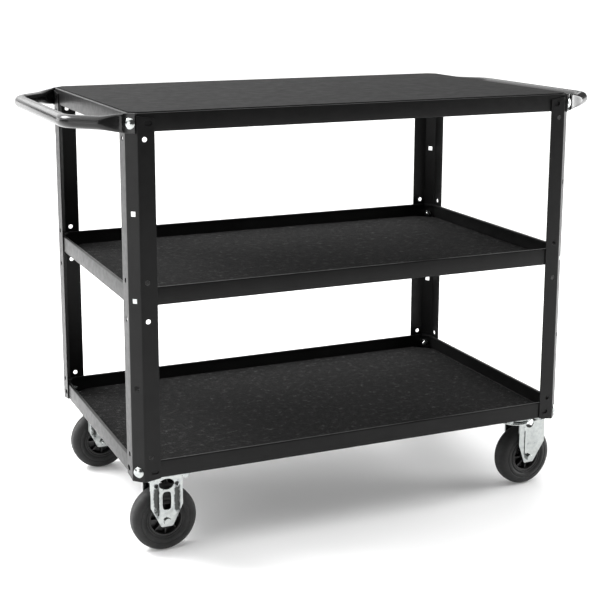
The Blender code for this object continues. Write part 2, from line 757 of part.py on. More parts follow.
def build_mats():
    carpet_outline = octagon(CARPET_INSET, CARPET_CORNER_CUT - CHAMFER_LEG)
    for level, z in (("bottom", BOTTOM_TRAY_Z), ("middle", MIDDLE_TRAY_Z)):
        low = z + TRAY_SHEET + FIT
        flat_mat(f"mat_{level}", carpet_outline, low, CARPET_THICKNESS, carpet())
    low = TOP_TRAY_Z + FIT
    flat_mat("mat_top", octagon(TOP_MAT_INSET), low, TOP_MAT_THICKNESS, smooth_mat())


def build_handles():
    for end, side in (("left", -1.0), ("right", 1.0)):
        obj = handle(f"handle_{end}", side, gloss_black())
        holes = corner_holes(f"handle_{end}_holes", BOLT_HEIGHTS["top"], True)
        boolean(obj, holes, "DIFFERENCE")


def main():
    clear_scene()
    for corner, (sx, sy) in CORNERS.items():
        post(f"post_{corner}", sx, sy, powder_coat())
        corner_fasteners(corner, sx, sy, zinc())
    build_shelves()
    build_mats()
    build_handles()
    fixed_caster("front_left", -1)
    fixed_caster("rear_left", 1)
    swivel_caster("front_right", -1, SWIVEL_REST_ANGLE)
    swivel_caster("rear_right", 1, SWIVEL_REST_ANGLE)


main()
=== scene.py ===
"""Looks of the three-shelf utility cart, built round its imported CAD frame.

Metres, +Z up, +X towards the swivel casters. Every visible piece is modelled finer than its CAD
solid, in the same place and at the same size.
"""
import json
import math

import bmesh
import bpy
from mathutils import Matrix, Vector, noise

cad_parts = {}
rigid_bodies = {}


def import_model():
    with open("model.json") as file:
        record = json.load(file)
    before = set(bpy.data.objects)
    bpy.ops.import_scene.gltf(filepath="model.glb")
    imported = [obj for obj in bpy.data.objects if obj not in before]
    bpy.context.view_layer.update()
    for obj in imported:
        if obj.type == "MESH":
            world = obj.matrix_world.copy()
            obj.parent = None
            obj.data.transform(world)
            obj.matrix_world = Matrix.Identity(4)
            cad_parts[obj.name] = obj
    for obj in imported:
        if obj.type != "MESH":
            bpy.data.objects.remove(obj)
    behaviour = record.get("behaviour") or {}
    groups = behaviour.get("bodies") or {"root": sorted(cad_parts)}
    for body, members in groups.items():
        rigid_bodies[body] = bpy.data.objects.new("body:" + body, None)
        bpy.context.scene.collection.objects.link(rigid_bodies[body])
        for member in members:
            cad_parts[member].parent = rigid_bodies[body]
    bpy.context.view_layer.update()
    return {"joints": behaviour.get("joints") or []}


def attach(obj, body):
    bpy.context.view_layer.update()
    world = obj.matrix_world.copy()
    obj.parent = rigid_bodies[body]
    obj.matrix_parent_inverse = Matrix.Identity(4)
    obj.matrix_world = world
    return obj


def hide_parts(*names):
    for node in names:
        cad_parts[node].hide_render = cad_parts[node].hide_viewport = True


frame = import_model()

# Corners and their signs in x and y; the fixed casters are at the left ones.
CORNERS = {"front_left": (-1, -1), "front_right": (1, -1), "rear_left": (-1, 1), "rear_right": (1, 1)}
LEFT = ("front_left", "rear_left")

# Driving dimensions, the same as the CAD's.
LENGTH, WIDTH = 0.910, 0.552
POST_BOTTOM, POST_TOP, POST_SHEET, POST_BEND = 0.1555, 0.820, 0.002, 0.003
CHAMFER, SIDE_FLANGE, FRONT_FLANGE, END_CUT = 0.0178, 0.0336, 0.0306, 0.0045
SQUARE_HOLE = 0.009
SQUARE_HEIGHTS = (0.1735, 0.332, 0.493, 0.649, 0.8075)
ROUND_RADIUS, ROUND_HEIGHTS = 0.0045, (0.202, 0.4555, 0.5265, 0.7795)
ROUND_OFFSETS = (0.0124, 0.0162)
SLOT_LENGTH, SLOT_HEIGHT = 0.015, 0.0085
SLOT_HEIGHTS, SLOT_OFFSETS = (0.1735, 0.8075), (0.0192, 0.0222)
FIT, TRAY_SHEET, TRAY_FOLD, LIP, HEM, HEM_DROP = 0.0003, 0.0015, 0.0025, 0.033, 0.006, 0.004
BOTTOM_Z, MIDDLE_Z, TOP_Z = 0.1597, 0.4832, 0.8250
CARPET, CARPET_INSET, CARPET_CUT = 0.006, 0.0085, 0.0282
TOP_MAT, TOP_MAT_INSET = 0.0015, 0.004
BOLT_HEIGHTS = {"bottom": 0.1735, "top": 0.8075}
STUD_HEIGHT, STUD_LENGTH, STUD_HEAD = 0.493, 0.018, 0.0022
BOLT_RADIUS, BOLT_LENGTH, HEAD_RADIUS, HEAD_HEIGHT = 0.004, 0.025, 0.010, 0.0046
NECK, NECK_LENGTH, HOLE_RADIUS = 0.0084, 0.0045, 0.0043
NUT_FLATS, NUT_THICKNESS, THREAD_PITCH = 0.013, 0.0065, 0.00125
TUBE, REACH, HANDLE_BEND, HANDLE_Z = 0.012, 0.542, 0.052, 0.8075
TAB_HALF, TAB_OVERHANG, TAB_FLAT, TAB_ROUND = 0.002, 0.0095, 0.010, 0.056
FIXED_X, FIXED_Y, SWIVEL_X, SWIVEL_Y, TRAIL = -0.388, 0.223, 0.386, 0.216, 0.0215
WHEEL, TREAD_HALF, RIM, BORE, HUB_HALF = 0.0625, 0.0185, 0.033, 0.0062, 0.0205
PLATE_X, PLATE_Y, PLATE_SHEET, PLATE_HOLE_X, PLATE_HOLE_Y = 0.085, 0.090, 0.003, 0.0335, 0.0355
FORK_SHEET, FORK_HALF, FORK_BEND, FORK_BACK, FORK_FRONT = 0.003, 0.025, 0.006, 0.026, 0.039
SHOULDER_Z, TIP_Z, CROWN_TOP, CROWN_RADIUS, RACE_RADIUS = 0.092, 0.053, 0.145, 0.035, 0.034
AXLE_RADIUS = 0.006

# Finer details of the visible pieces.
LEG_END, PLATE_CORNER, AXLE_HEAD = 0.045, 0.007, 0.0053
FELT_STEP, FELT_ROLL, FELT_TOP = 0.0045, 0.0030, 0.0006

# Studio.
FLOOR_REACH, FLOOR_FRONT, SURROUNDINGS = 80.0, -3.4, 0.10
OVERHEAD_POWER, OVERHEAD_SPREAD, OVERHEAD_TILT = 4.4, 108, (-24, -16)
LENS, LENS_SHIFT = 77.9, (0.03, -0.12)
CAMERA_PLACE, CAMERA_PITCH, CAMERA_TURN = (-1.077, -2.406, 1.069), -11.34, -23.10

workshop = bpy.data.collections.new("workshop")
bpy.context.scene.collection.children.link(workshop)


# ---------------------------------------------------------------- materials

class Surface:
    """A Principled material whose colour, roughness and relief come from noise in object space."""

    def __init__(self, name, **constants):
        self.material = bpy.data.materials.new(name)
        self.material.use_nodes = True
        self.tree = self.material.node_tree
        self.shader = self.tree.nodes["Principled BSDF"]
        self.space = self.tree.nodes.new("ShaderNodeTexCoord").outputs["Object"]
        self.normal = None
        for socket, value in constants.items():
            self.shader.inputs[socket.replace("_", " ")].default_value = value

    def noise(self, size, detail=3.0, stretch=(1, 1, 1), rough=0.55):
        """Noise whose features are about size metres across."""
        mapping = self.tree.nodes.new("ShaderNodeMapping")
        mapping.inputs["Scale"].default_value = stretch
        texture = self.tree.nodes.new("ShaderNodeTexNoise")
        texture.inputs["Scale"].default_value = 1.0 / size
        texture.inputs["Detail"].default_value = detail
        texture.inputs["Roughness"].default_value = rough
        self.tree.links.new(self.space, mapping.inputs["Vector"])
        self.tree.links.new(mapping.outputs["Vector"], texture.inputs["Vector"])
        return texture.outputs["Fac"]

    def cells(self, size):
        """Distance to the middle of the nearest cell, about size metres across."""
        texture = self.tree.nodes.new("ShaderNodeTexVoronoi")
        texture.inputs["Scale"].default_value = 1.0 / size
        self.tree.links.new(self.space, texture.inputs["Vector"])
        return texture.outputs["Distance"]

    def math(self, operation, *values):
        node = self.tree.nodes.new("ShaderNodeMath")
        node.operation = operation
        for socket, value in zip(node.inputs, values):
            if isinstance(value, float):
                socket.default_value = value
            else:
                self.tree.links.new(value, socket)
        return node.outputs[0]

    def painted_groove_shade(self, x, half, low, high):
        """Painted shade mask: from 0 to 0.5 along the middle of an upright groove, fading at its sides and
        ends.
        """
        parts = self.tree.nodes.new("ShaderNodeSeparateXYZ")
        self.tree.links.new(self.space, parts.inputs["Vector"])
        side = self.math("ABSOLUTE", self.math("SUBTRACT", parts.outputs["X"], x))
        end = self.math("ABSOLUTE", self.math("SUBTRACT", parts.outputs["Z"], (low + high) / 2))
        inside = self.math("MULTIPLY", self.fade(side, half), self.fade(end, (high - low) / 2))
        return self.math("MULTIPLY", inside, 0.5)

    def fade(self, distance, reach):
        """1 well inside the reach, falling smoothly to 0 at it."""
        node = self.tree.nodes.new("ShaderNodeMapRange")
        node.interpolation_type = "SMOOTHSTEP"
        node.inputs["From Min"].default_value = reach
        node.inputs["From Max"].default_value = reach * 0.35
        self.tree.links.new(distance, node.inputs["Value"])
        return node.outputs["Result"]

    def mix(self, first, second, factor):
        node = self.tree.nodes.new("ShaderNodeMix")
        node.inputs["Factor"].default_value = factor
        self.tree.links.new(first, node.inputs["A"])
        self.tree.links.new(second, node.inputs["B"])
        return node.outputs["Result"]

    def colour(self, source, *stops):
        """Stops are (place, grey or rgb)."""
        ramp = self.tree.nodes.new("ShaderNodeValToRGB")
        elements = ramp.color_ramp.elements
        while len(elements) < len(stops):
            elements.new(0.5)
        for element, (place, shade) in zip(elements, stops):
            rgb = (shade, shade, shade) if isinstance(shade, float) else shade
            element.position = place
            element.color = (*rgb, 1.0)
        self.tree.links.new(source, ramp.inputs["Fac"])
        self.tree.links.new(ramp.outputs["Color"], self.shader.inputs["Base Color"])

    def roughness(self, source, low, high):
        """Roughness from low to high over the middle range of the source."""
        span = self.tree.nodes.new("ShaderNodeMapRange")
        span.inputs["From Min"].default_value = 0.3
        span.inputs["From Max"].default_value = 0.7
        span.inputs["To Min"].default_value = low
        span.inputs["To Max"].default_value = high
        self.tree.links.new(source, span.inputs["Value"])
        self.tree.links.new(span.outputs["Result"], self.shader.inputs["Roughness"])

    def relief(self, source, height, strength=1.0):
        """Bump on top of any relief added before."""
        bump = self.tree.nodes.new("ShaderNodeBump")
        bump.inputs["Distance"].default_value = height
        bump.inputs["Strength"].default_value = strength
        self.tree.links.new(source, bump.inputs["Height"])
        if self.normal is not None:
            self.tree.links.new(self.normal, bump.inputs["Normal"])
        self.normal = bump.outputs["Normal"]
        self.tree.links.new(self.normal, self.shader.inputs["Normal"])


def powder_coat():
    """Black textured powder coat: fine pimples with a slow drift in gloss."""
    s = Surface("powder_coat", Specular_IOR_Level=0.19)
    s.colour(s.noise(0.05, 5.0), (0.3, 0.0045), (0.7, 0.0075))
    s.roughness(s.noise(0.012, 4.0), 0.30, 0.40)
    s.relief(s.noise(0.0011, 2.0), 0.00006, 0.55)
    s.relief(s.noise(0.03, 2.0), 0.0002, 0.12)
    return s.material


def gloss_tube():
    """Gloss black coat with a faint orange peel."""
    s = Surface("gloss_tube", Specular_IOR_Level=0.22, Coat_Weight=0.2, Coat_Roughness=0.06)
    s.colour(s.noise(0.03, 3.0), (0.35, 0.006), (0.7, 0.009))
    s.roughness(s.noise(0.006, 3.0), 0.17, 0.27)
    s.relief(s.noise(0.0022, 2.0), 0.00008, 0.25)
    return s.material


def zinc(name="zinc", painted_shade_bands=()):
    """Bright zinc plate on steel: drawn streaks and small pits, with painted shade darkening the pressed
    grooves.

    A painted shade band is (x, half width, low z, high z) in the piece's own space.
    """
    s = Surface(name, Metallic=1.0)
    tone_and_painted_shade = s.noise(0.008, 5.0)
    # Painted shade: each band pulls the random zinc tone towards the ramp's dark end along a pressed
    # groove.
    for shade_band in painted_shade_bands:
        tone_and_painted_shade = s.math("SUBTRACT", tone_and_painted_shade, s.painted_groove_shade(*shade_band))
    # The darkest stop is reached mainly inside the bands, where it is painted shade; the other stops give
    # the zinc's random tone.
    s.colour(tone_and_painted_shade, (0.10, (0.050, 0.053, 0.051)), (0.38, (0.40, 0.42, 0.42)), (0.55, (0.45, 0.47, 0.46)),
             (0.8, (0.52, 0.54, 0.52)))
    s.roughness(s.noise(0.004, 4.0, (1, 1, 0.25)), 0.13, 0.22)
    s.relief(s.noise(0.0009, 3.0, (1, 1, 0.12)), 0.00002, 0.15)
    s.relief(s.noise(0.012, 2.0), 0.0002, 0.02)
    return s.material


def rubber():
    """Matt tyre rubber, a little dusty in the hollows."""
    s = Surface("rubber_tyre", Specular_IOR_Level=0.30, Sheen_Weight=0.02)
    s.colour(s.mix(s.noise(0.02, 5.0), s.noise(0.0015, 3.0), 0.4), (0.35, 0.011), (0.65, 0.021))
    s.roughness(s.noise(0.006, 4.0), 0.52, 0.70)
    s.relief(s.noise(0.0008, 3.0), 0.0001, 0.5)
    return s.material


def hub_plastic():
    """Black moulded plastic with a fine spark-eroded grain."""
    s = Surface("hub_plastic")
    s.colour(s.noise(0.01, 4.0), (0.35, 0.005), (0.7, 0.009))
    s.roughness(s.noise(0.003, 4.0), 0.36, 0.52)
    s.relief(s.noise(0.0006, 2.0), 0.00006, 0.5)
    return s.material


def carpet():
    """Needle-punched charcoal felt: tangled fibres, darker pits and paler flecks."""
    s = Surface("carpet", Specular_IOR_Level=0.10, Sheen_Weight=0.03, Sheen_Roughness=0.6)
    across, along = s.noise(0.0046, 6.0, (1, 0.6, 1), 0.85), s.noise(0.0046, 6.0, (0.6, 1, 1), 0.85)
    fibres = s.mix(across, along, 0.5)
    clumps = s.mix(fibres, s.noise(0.014, 4.0), 0.25)
    s.colour(clumps, (0.40, 0.0008), (0.49, 0.0026), (0.54, 0.008), (0.60, 0.064))
    s.roughness(fibres, 0.85, 1.0)
    s.relief(fibres, 0.0030, 1.0)
    s.relief(s.cells(0.0035), 0.0008, 0.35)
    return s.material


def smooth_mat():
    """Dark grey sheet with a fine leather-like grain."""
    s = Surface("smooth_mat", Specular_IOR_Level=0.06)
    s.colour(s.noise(0.012, 6.0), (0.3, 0.011), (0.7, 0.016))
    s.roughness(s.noise(0.02, 4.0), 0.62, 0.72)
    s.relief(s.cells(0.0012), 0.00008, 0.35)
    s.relief(s.noise(0.0006, 2.0), 0.00005, 0.4)
    return s.material


def pale_floor():
    """Off-white sweep, lit a little from within so that the shadow on it stays light."""
    s = Surface("pale_floor", Emission_Color=(1.0, 1.0, 1.0, 1.0), Emission_Strength=0.10)
    s.colour(s.noise(0.8, 2.0), (0.3, 0.90), (0.7, 0.915))
    s.roughness(s.noise(0.05, 2.0), 0.55, 0.62)
    s.relief(s.noise(0.002, 2.0), 0.00005, 0.1)
    return s.material


FINISHES = {
    "powder_coat": powder_coat(),
    "gloss_tube": gloss_tube(),
    "zinc": zinc(),
    "rubber_tyre": rubber(),
    "hub_plastic": hub_plastic(),
    "carpet": carpet(),
    "smooth_mat": smooth_mat(),
}
# Zinc finishes with painted shade along the fixed bracket's two flutes and along the swivel leg's step.
FLUTED_ZINC_PAINTED_SHADE = zinc("zinc_fluted_painted_shade", [(s * 0.0200, 0.0080, 0.062, 0.146) for s in (-1, 1)])
STEPPED_ZINC_PAINTED_SHADE = zinc("zinc_stepped_painted_shade", [(TRAIL - 0.0125, 0.0022, 0.060, 0.136)])


# ---------------------------------------------------------------- modelling

def at(x, y, z):
    return Matrix.Translation((x, y, z))


def turn(degrees, axis):
    return Matrix.Rotation(math.radians(degrees), 4, axis)


ALONG_Y = turn(-90, "X")
ALONG_X = turn(90, "Y")


def temporary(bm, smooth=True):
    """Mesh object in the workshop, to be cut and bevelled."""
    mesh = bpy.data.meshes.new("work")
    bm.to_mesh(mesh)
    bm.free()
    for face in mesh.polygons:
        face.use_smooth = smooth
    obj = bpy.data.objects.new("work", mesh)
    workshop.objects.link(obj)
    return obj


def modify(obj, kind, **settings):
    modifier = obj.modifiers.new(kind, kind)
    for key, value in settings.items():
        setattr(modifier, key, value)


def sheet_metal(obj, thickness):
    modify(obj, "SOLIDIFY", thickness=thickness, offset=-1.0, use_even_offset=True)


def combine(obj, tool, operation="DIFFERENCE"):
    modify(obj, "BOOLEAN", object=tool, operation=operation)


def soften(obj, width, segments=2, angle=50):
    """Small round on every sharp edge, with the flat faces kept flat in shading."""
    modify(obj, "BEVEL", width=width, segments=segments, limit_method="ANGLE",
           angle_limit=math.radians(angle), harden_normals=True, use_clamp_overlap=True)


def take(obj, name):
    """The finished mesh; the workshop is emptied."""
    bpy.context.view_layer.update()
    mesh = bpy.data.meshes.new_from_object(obj.evaluated_get(bpy.context.evaluated_depsgraph_get()))
    mesh.name = name
    for old in list(workshop.objects):
        bpy.data.objects.remove(old, do_unlink=True)
    return mesh


def show(name, mesh, slot, body, nodes=(), matrix=None):
    """Place a finished mesh as a visible piece, in its slot's finish, on its body."""
    if not mesh.materials:
        mesh.materials.append(FINISHES[slot])
    obj = bpy.data.objects.new(name, mesh)
    bpy.context.scene.collection.objects.link(obj)
    if matrix is not None:
        obj.matrix_world = matrix
    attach(obj, body)
    if nodes:
        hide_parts(*nodes)
    return obj


def rounded(points, radius, steps, closed):
    """Outline in a plane with each corner replaced by an arc."""
    count, path = len(points), []
    for i, corner in enumerate(points):
        corner = Vector(corner)
        if not closed and i in (0, count - 1):
            path.append(corner)
            continue
        before = (Vector(points[i - 1]) - corner).normalized()
        after = (Vector(points[(i + 1) % count]) - corner).normalized()
        half = before.angle(after) / 2
        centre = corner + (before + after).normalized() * radius / math.sin(half)
        start = corner + before * radius / math.tan(half) - centre
        end = corner + after * radius / math.tan(half) - centre
        for step in range(steps + 1):
            path.append(centre + start.lerp(end, step / steps).normalized() * radius)
    return path


def octagon(inset, extra_cut=0.0, radius=0.002, steps=4):
    """Shelf outline inside the posts, counter-clockwise."""
    gap = POST_SHEET + FIT
    a, b = LENGTH / 2 - gap - inset, WIDTH / 2 - gap - inset
    cut = CHAMFER - (gap + inset) * (2 - math.sqrt(2)) + extra_cut
    plan = [(a, cut - b), (a, b - cut), (a - cut, b), (cut - a, b)]
    plan += [(-a, b - cut), (-a, cut - b), (cut - a, -b), (a - cut, -b)]
    return rounded([(x, y, 0.0) for x, y in plan], radius, steps, True)


def box_in(bm, size, matrix):
    bmesh.ops.create_cube(bm, size=1.0, matrix=matrix @ Matrix.Diagonal((*size, 1.0)))


def rod_in(bm, radius, depth, matrix, segments=32):
    bmesh.ops.create_cone(bm, cap_ends=True, segments=segments, radius1=radius, radius2=radius,
                          depth=depth, matrix=matrix)


def slot_in(bm, matrix):
    """Slot cutter along local X with round ends, pointing along local Z."""
    made = bmesh.ops.create_cone(bm, cap_ends=True, segments=32, radius1=SLOT_HEIGHT / 2,
                                 radius2=SLOT_HEIGHT / 2, depth=0.02)
    half = (SLOT_LENGTH - SLOT_HEIGHT) / 2
    for vert in made["verts"]:
        vert.co.x += half if vert.co.x >= 0.0 else -half
        vert.co = matrix @ vert.co


def prism_in(bm, outline, low_y, high_y):
    """Closed prism along Y from an outline in the XZ plane."""
    near = [bm.verts.new((x, low_y, z)) for x, z in outline]
    far = [bm.verts.new((x, high_y, z)) for x, z in outline]
    faces = [bm.faces.new(near), bm.faces.new(list(reversed(far)))]
    for i in range(len(outline)):
        j = (i + 1) % len(outline)
        faces.append(bm.faces.new((near[i], far[i], far[j], near[j])))
    bmesh.ops.recalc_face_normals(bm, faces=faces)


def tool(*fill):
    """Cutter made by one or more (function, arguments...) entries."""
    bm = bmesh.new()
    for make, *args in fill:
        make(bm, *args)
    return temporary(bm)


def lathe(profile, steps=96, closed=False):
    """Revolve an (r, z) profile about Z. A point with r = 0 is shared by the whole turn."""
    bm = bmesh.new()
    rings = []
    for r, z in profile:
        if r < 1e-7:
            rings.append([bm.verts.new((0, 0, z))] * steps)
        else:
            angles = [2 * math.pi * i / steps for i in range(steps)]
            rings.append([bm.verts.new((r * math.cos(a), r * math.sin(a), z)) for a in angles])
    pairs = list(zip(rings, rings[1:])) + ([(rings[-1], rings[0])] if closed else [])
    for upper, lower in pairs:
        for i in range(steps):
            j = (i + 1) % steps
            corners = [upper[i], upper[j], lower[j], lower[i]]
            bm.faces.new([v for k, v in enumerate(corners) if v not in corners[:k]])
    bmesh.ops.recalc_face_normals(bm, faces=bm.faces)
    return bm


def arc(centre_r, centre_z, radius, start, stop, steps=6):
    """Points of an arc in a profile, angles in degrees from +r towards +z."""
    points = []
    for i in range(steps + 1):
        angle = math.radians(start + (stop - start) * i / steps)
        points.append((centre_r + radius * math.cos(angle), centre_z + radius * math.sin(angle)))
    return points


def crisp(mesh, degrees=32):
    mesh.shade_smooth()
    mesh.set_sharp_from_angle(angle=math.radians(degrees))
    return mesh


def corner_frame(sx, sy, z):
    """Frame on a post's 45 degree face: X level on the face, Y up, Z outwards."""
    out = Vector((sx, sy, 0.0)).normalized()
    up = Vector((0.0, 0.0, 1.0))
    axes = Matrix((up.cross(out), up, out)).transposed().to_4x4()
    return at(sx * (LENGTH - CHAMFER) / 2, sy * (WIDTH - CHAMFER) / 2, z) @ axes


# ---------------------------------------------------------------- frame

def post_holes(sx, sy):
    fill = [(box_in, (SQUARE_HOLE, SQUARE_HOLE, 0.02), corner_frame(sx, sy, z)) for z in SQUARE_HEIGHTS]
    start_x, start_y = LENGTH / 2 - CHAMFER, WIDTH / 2 - CHAMFER
    for z in ROUND_HEIGHTS:
        x, y = sx * (start_x - ROUND_OFFSETS[0]), sy * (start_y - ROUND_OFFSETS[1])
        fill.append((rod_in, ROUND_RADIUS, 0.02, at(x, sy * WIDTH / 2, z) @ ALONG_Y))
        fill.append((rod_in, ROUND_RADIUS, 0.02, at(sx * LENGTH / 2, y, z) @ ALONG_X))
    for z in SLOT_HEIGHTS:
        x, y = sx * (start_x - SLOT_OFFSETS[0]), sy * (start_y - SLOT_OFFSETS[1])
        fill.append((slot_in, at(x, sy * WIDTH / 2, z) @ ALONG_Y))
        fill.append((slot_in, at(sx * LENGTH / 2, y, z) @ ALONG_Y @ turn(90, "Y")))
    return tool(*fill)


def post(sx, sy, name):
    """Folded strip: side flange, 45 degree face, front flange."""
    x, y = LENGTH / 2, WIDTH / 2
    plan = [(x, y - CHAMFER - SIDE_FLANGE), (x, y - CHAMFER)]
    plan += [(x - CHAMFER, y), (x - CHAMFER - FRONT_FLANGE, y)]
    path = rounded([(px * sx, py * sy, 0.0) for px, py in plan], POST_BEND, 7, False)
    if sx * sy < 0:
        path.reverse()
    bm = bmesh.new()
    rows = []
    for i, p in enumerate(path):
        cut = END_CUT if i in (0, len(path) - 1) else 0.0
        rows.append((bm.verts.new((p.x, p.y, POST_BOTTOM + cut)), bm.verts.new((p.x, p.y, POST_TOP - cut))))
    for (low_a, high_a), (low_b, high_b) in zip(rows, rows[1:]):
        bm.faces.new((low_a, low_b, high_b, high_a))
    obj = temporary(bm)
    sheet_metal(obj, POST_SHEET)
    combine(obj, post_holes(sx, sy))
    soften(obj, 0.00035)
    return take(obj, name)


def tray(floor_z, lip, holes, name):
    """Folded tray with a rolled hem; a negative lip hangs down."""
    side = 1.0 if lip > 0 else -1.0
    rim = floor_z + lip
    roll, inner = 0.0020, 0.0014
    section = [(HEM, -HEM_DROP)]
    section += [(HEM - inner + r, z - inner) for r, z in arc(0, 0, inner, 0, 90, 4)]
    section += [(roll + r, z - roll) for r, z in arc(0, 0, roll, 90, 180, 5)]
    section = [(inset, rim + side * z) for inset, z in section]
    bend = arc(TRAY_FOLD, TRAY_FOLD, TRAY_FOLD, 180, 270, 6)
    section += [(inset, floor_z + side * z) for inset, z in bend]
    bm = bmesh.new()
    rings = [[bm.verts.new((p.x, p.y, z)) for p in octagon(inset)] for inset, z in section]
    for upper, lower in zip(rings, rings[1:]):
        for i in range(len(upper)):
            j = (i + 1) % len(upper)
            bm.faces.new((upper[i], lower[i], lower[j], upper[j]))
    bm.faces.new(list(reversed(rings[-1])))
    if lip < 0:
        bmesh.ops.reverse_faces(bm, faces=bm.faces)
    obj = temporary(bm)
    sheet_metal(obj, TRAY_SHEET)
    combine(obj, holes)
    soften(obj, 0.0003)
    return take(obj, name)


def corner_cuts(z, square=True):
    """Cutters for one square or round hole through each corner."""
    cut = (box_in, (SQUARE_HOLE, SQUARE_HOLE, 0.03)) if square else (rod_in, HOLE_RADIUS, 0.03)
    return [(*cut, corner_frame(*corner, z)) for corner in CORNERS.values()]


def plate_hole_places():
    """Every caster bolt's place in plan."""
    sides = (-1, 1)
    plates = [(FIXED_X, s * FIXED_Y) for s in sides] + [(SWIVEL_X, s * SWIVEL_Y) for s in sides]
    return [(x + i * PLATE_HOLE_X, y + j * PLATE_HOLE_Y) for x, y in plates for i in sides for j in sides]


def shelves():
    bolts = [(rod_in, HOLE_RADIUS, 0.02, at(x, y, BOTTOM_Z), 24) for x, y in plate_hole_places()]
    for level, floor_z, lip, cuts in (
            ("bottom", BOTTOM_Z, LIP, corner_cuts(BOLT_HEIGHTS["bottom"]) + bolts),
            ("middle", MIDDLE_Z, LIP, corner_cuts(STUD_HEIGHT, False)),
            ("top", TOP_Z, -LIP, corner_cuts(BOLT_HEIGHTS["top"]))):
        sheet = tray(floor_z, lip, tool(*cuts), f"tray_{level}")
        show(f"shelf_{level}_sheet", sheet, "powder_coat", "frame", [f"shelf_{level}"])


def felt_sheet(low, name):
    """Carpet cut to the tray, with a tufted top and rolled edges."""
    outline = octagon(CARPET_INSET, CARPET_CUT, 0.004, 3)
    a, b = max(p.x for p in outline), max(p.y for p in outline)
    bm = bmesh.new()
    columns, rows = round(2 * a / FELT_STEP), round(2 * b / FELT_STEP)
    bmesh.ops.create_grid(bm, x_segments=columns, y_segments=rows, size=1.0,
                          matrix=Matrix.Diagonal((a, b, 1, 1)))
    corner = max(p.x + p.y for p in outline)
    for sx in (-1, 1):
        for sy in (-1, 1):
            normal = Vector((sx, sy, 0)).normalized()
            bmesh.ops.bisect_plane(bm, geom=bm.verts[:] + bm.edges[:] + bm.faces[:], plane_no=normal,
                                   plane_co=normal * corner / math.sqrt(2), clear_outer=True)
    for vert in bm.verts:
        x, y = abs(vert.co.x), abs(vert.co.y)
        edge = min(a - x, b - y, (corner - x - y) / math.sqrt(2))
        inward = 1 - min(edge, FELT_ROLL) / FELT_ROLL
        drop = FELT_ROLL * (1 - math.sqrt(max(0.0, 1 - inward ** 2)))
        tuft = noise.noise(Vector((vert.co.x, vert.co.y, low)) * 160) * 0.00022
        wave = noise.noise(Vector((vert.co.x, vert.co.y, low)) * 7) * 0.00035
        vert.co.z = low + CARPET - FELT_TOP - drop * 0.8 + tuft + wave
    border = [e for e in bm.edges if e.is_boundary]
    grown = bmesh.ops.extrude_edge_only(bm, edges=border)["geom"]
    for vert in [g for g in grown if isinstance(g, bmesh.types.BMVert)]:
        vert.co.z = low
    base = [e for e in bm.edges if e.is_boundary]
    bmesh.ops.contextual_create(bm, geom=base)
    bmesh.ops.recalc_face_normals(bm, faces=bm.faces)
    return crisp(take(temporary(bm), name), 60)


def mats():
    flat = octagon(CARPET_INSET, CARPET_CUT)
    for level, z in (("bottom", BOTTOM_Z), ("middle", MIDDLE_Z)):
        felt = felt_sheet(z + TRAY_SHEET + FIT, f"felt_{level}")
        piece = show(f"carpet_{level}", felt, "carpet", "frame", [f"mat_{level}"])
    bm = bmesh.new()
    outline = octagon(TOP_MAT_INSET, 0.0, 0.003)
    bm.faces.new([bm.verts.new((p.x, p.y, TOP_Z + FIT + TOP_MAT)) for p in outline])
    obj = temporary(bm)
    sheet_metal(obj, TOP_MAT)
    soften(obj, 0.0006, 3)
    piece = show("top_covering", take(obj, "top_sheet"), "smooth_mat", "frame", ["mat_top"])
    flat = octagon(TOP_MAT_INSET)


# ---------------------------------------------------------------- handles

def handle_stations(side):
    """Centre, outward direction and squeeze radius along one end handle."""
    mid = CHAMFER / 2
    root = Vector((side * (LENGTH / 2 - mid), mid - WIDTH / 2, 0.0))
    run, out = Vector((side, 1.0, 0.0)).normalized(), Vector((side, -1.0, 0.0)).normalized()
    squeeze = [(-TAB_OVERHANG, 0.0), (0.0, 0.0), (TAB_FLAT, 0.0), (TAB_FLAT + 0.0012, 0.05)]
    squeeze += [(TAB_FLAT + 0.0022, 0.17)]
    steps = 14
    for i in range(steps + 1):
        t = i / steps
        u = TAB_FLAT + 0.003 + t * (TAB_ROUND - TAB_FLAT - 0.003)
        squeeze.append((u, 0.22 + 0.78 * t * t * (3 - 2 * t)))
    stations = []
    for u, openness in squeeze:
        radius = TAB_HALF + openness * (TUBE - TAB_HALF)
        stations.append((root + run * u + out * (FIT + radius), out, radius))
    foot = root + out * (FIT + TUBE)
    corner = foot + run * (REACH - abs(foot.x)) / abs(run.x)
    tangent = HANDLE_BEND * math.tan(math.radians(22.5))
    centre = corner + Vector((-side * HANDLE_BEND, tangent, 0.0))
    for i in range(13):
        angle = math.radians(-45 + 45 * i / 12)
        spoke = Vector((side * math.cos(angle), math.sin(angle), 0.0))
        stations.append((centre + spoke * HANDLE_BEND, spoke, TUBE))
    mirror = Matrix.Diagonal((1, -1, 1))
    return stations + [(mirror @ p, mirror @ o, r) for p, o, r in reversed(stations)]


def tube_section(radius, count=16):
    """A tube squeezed to a slot with round ends, its girth unchanged."""
    spread = math.pi * (TUBE - radius) / 2
    points = []
    for end in (1.0, -1.0):
        for i in range(count + 1):
            angle = math.pi * i / count
            points.append((radius * math.cos(angle) * end, end * (spread + radius * math.sin(angle))))
    return points


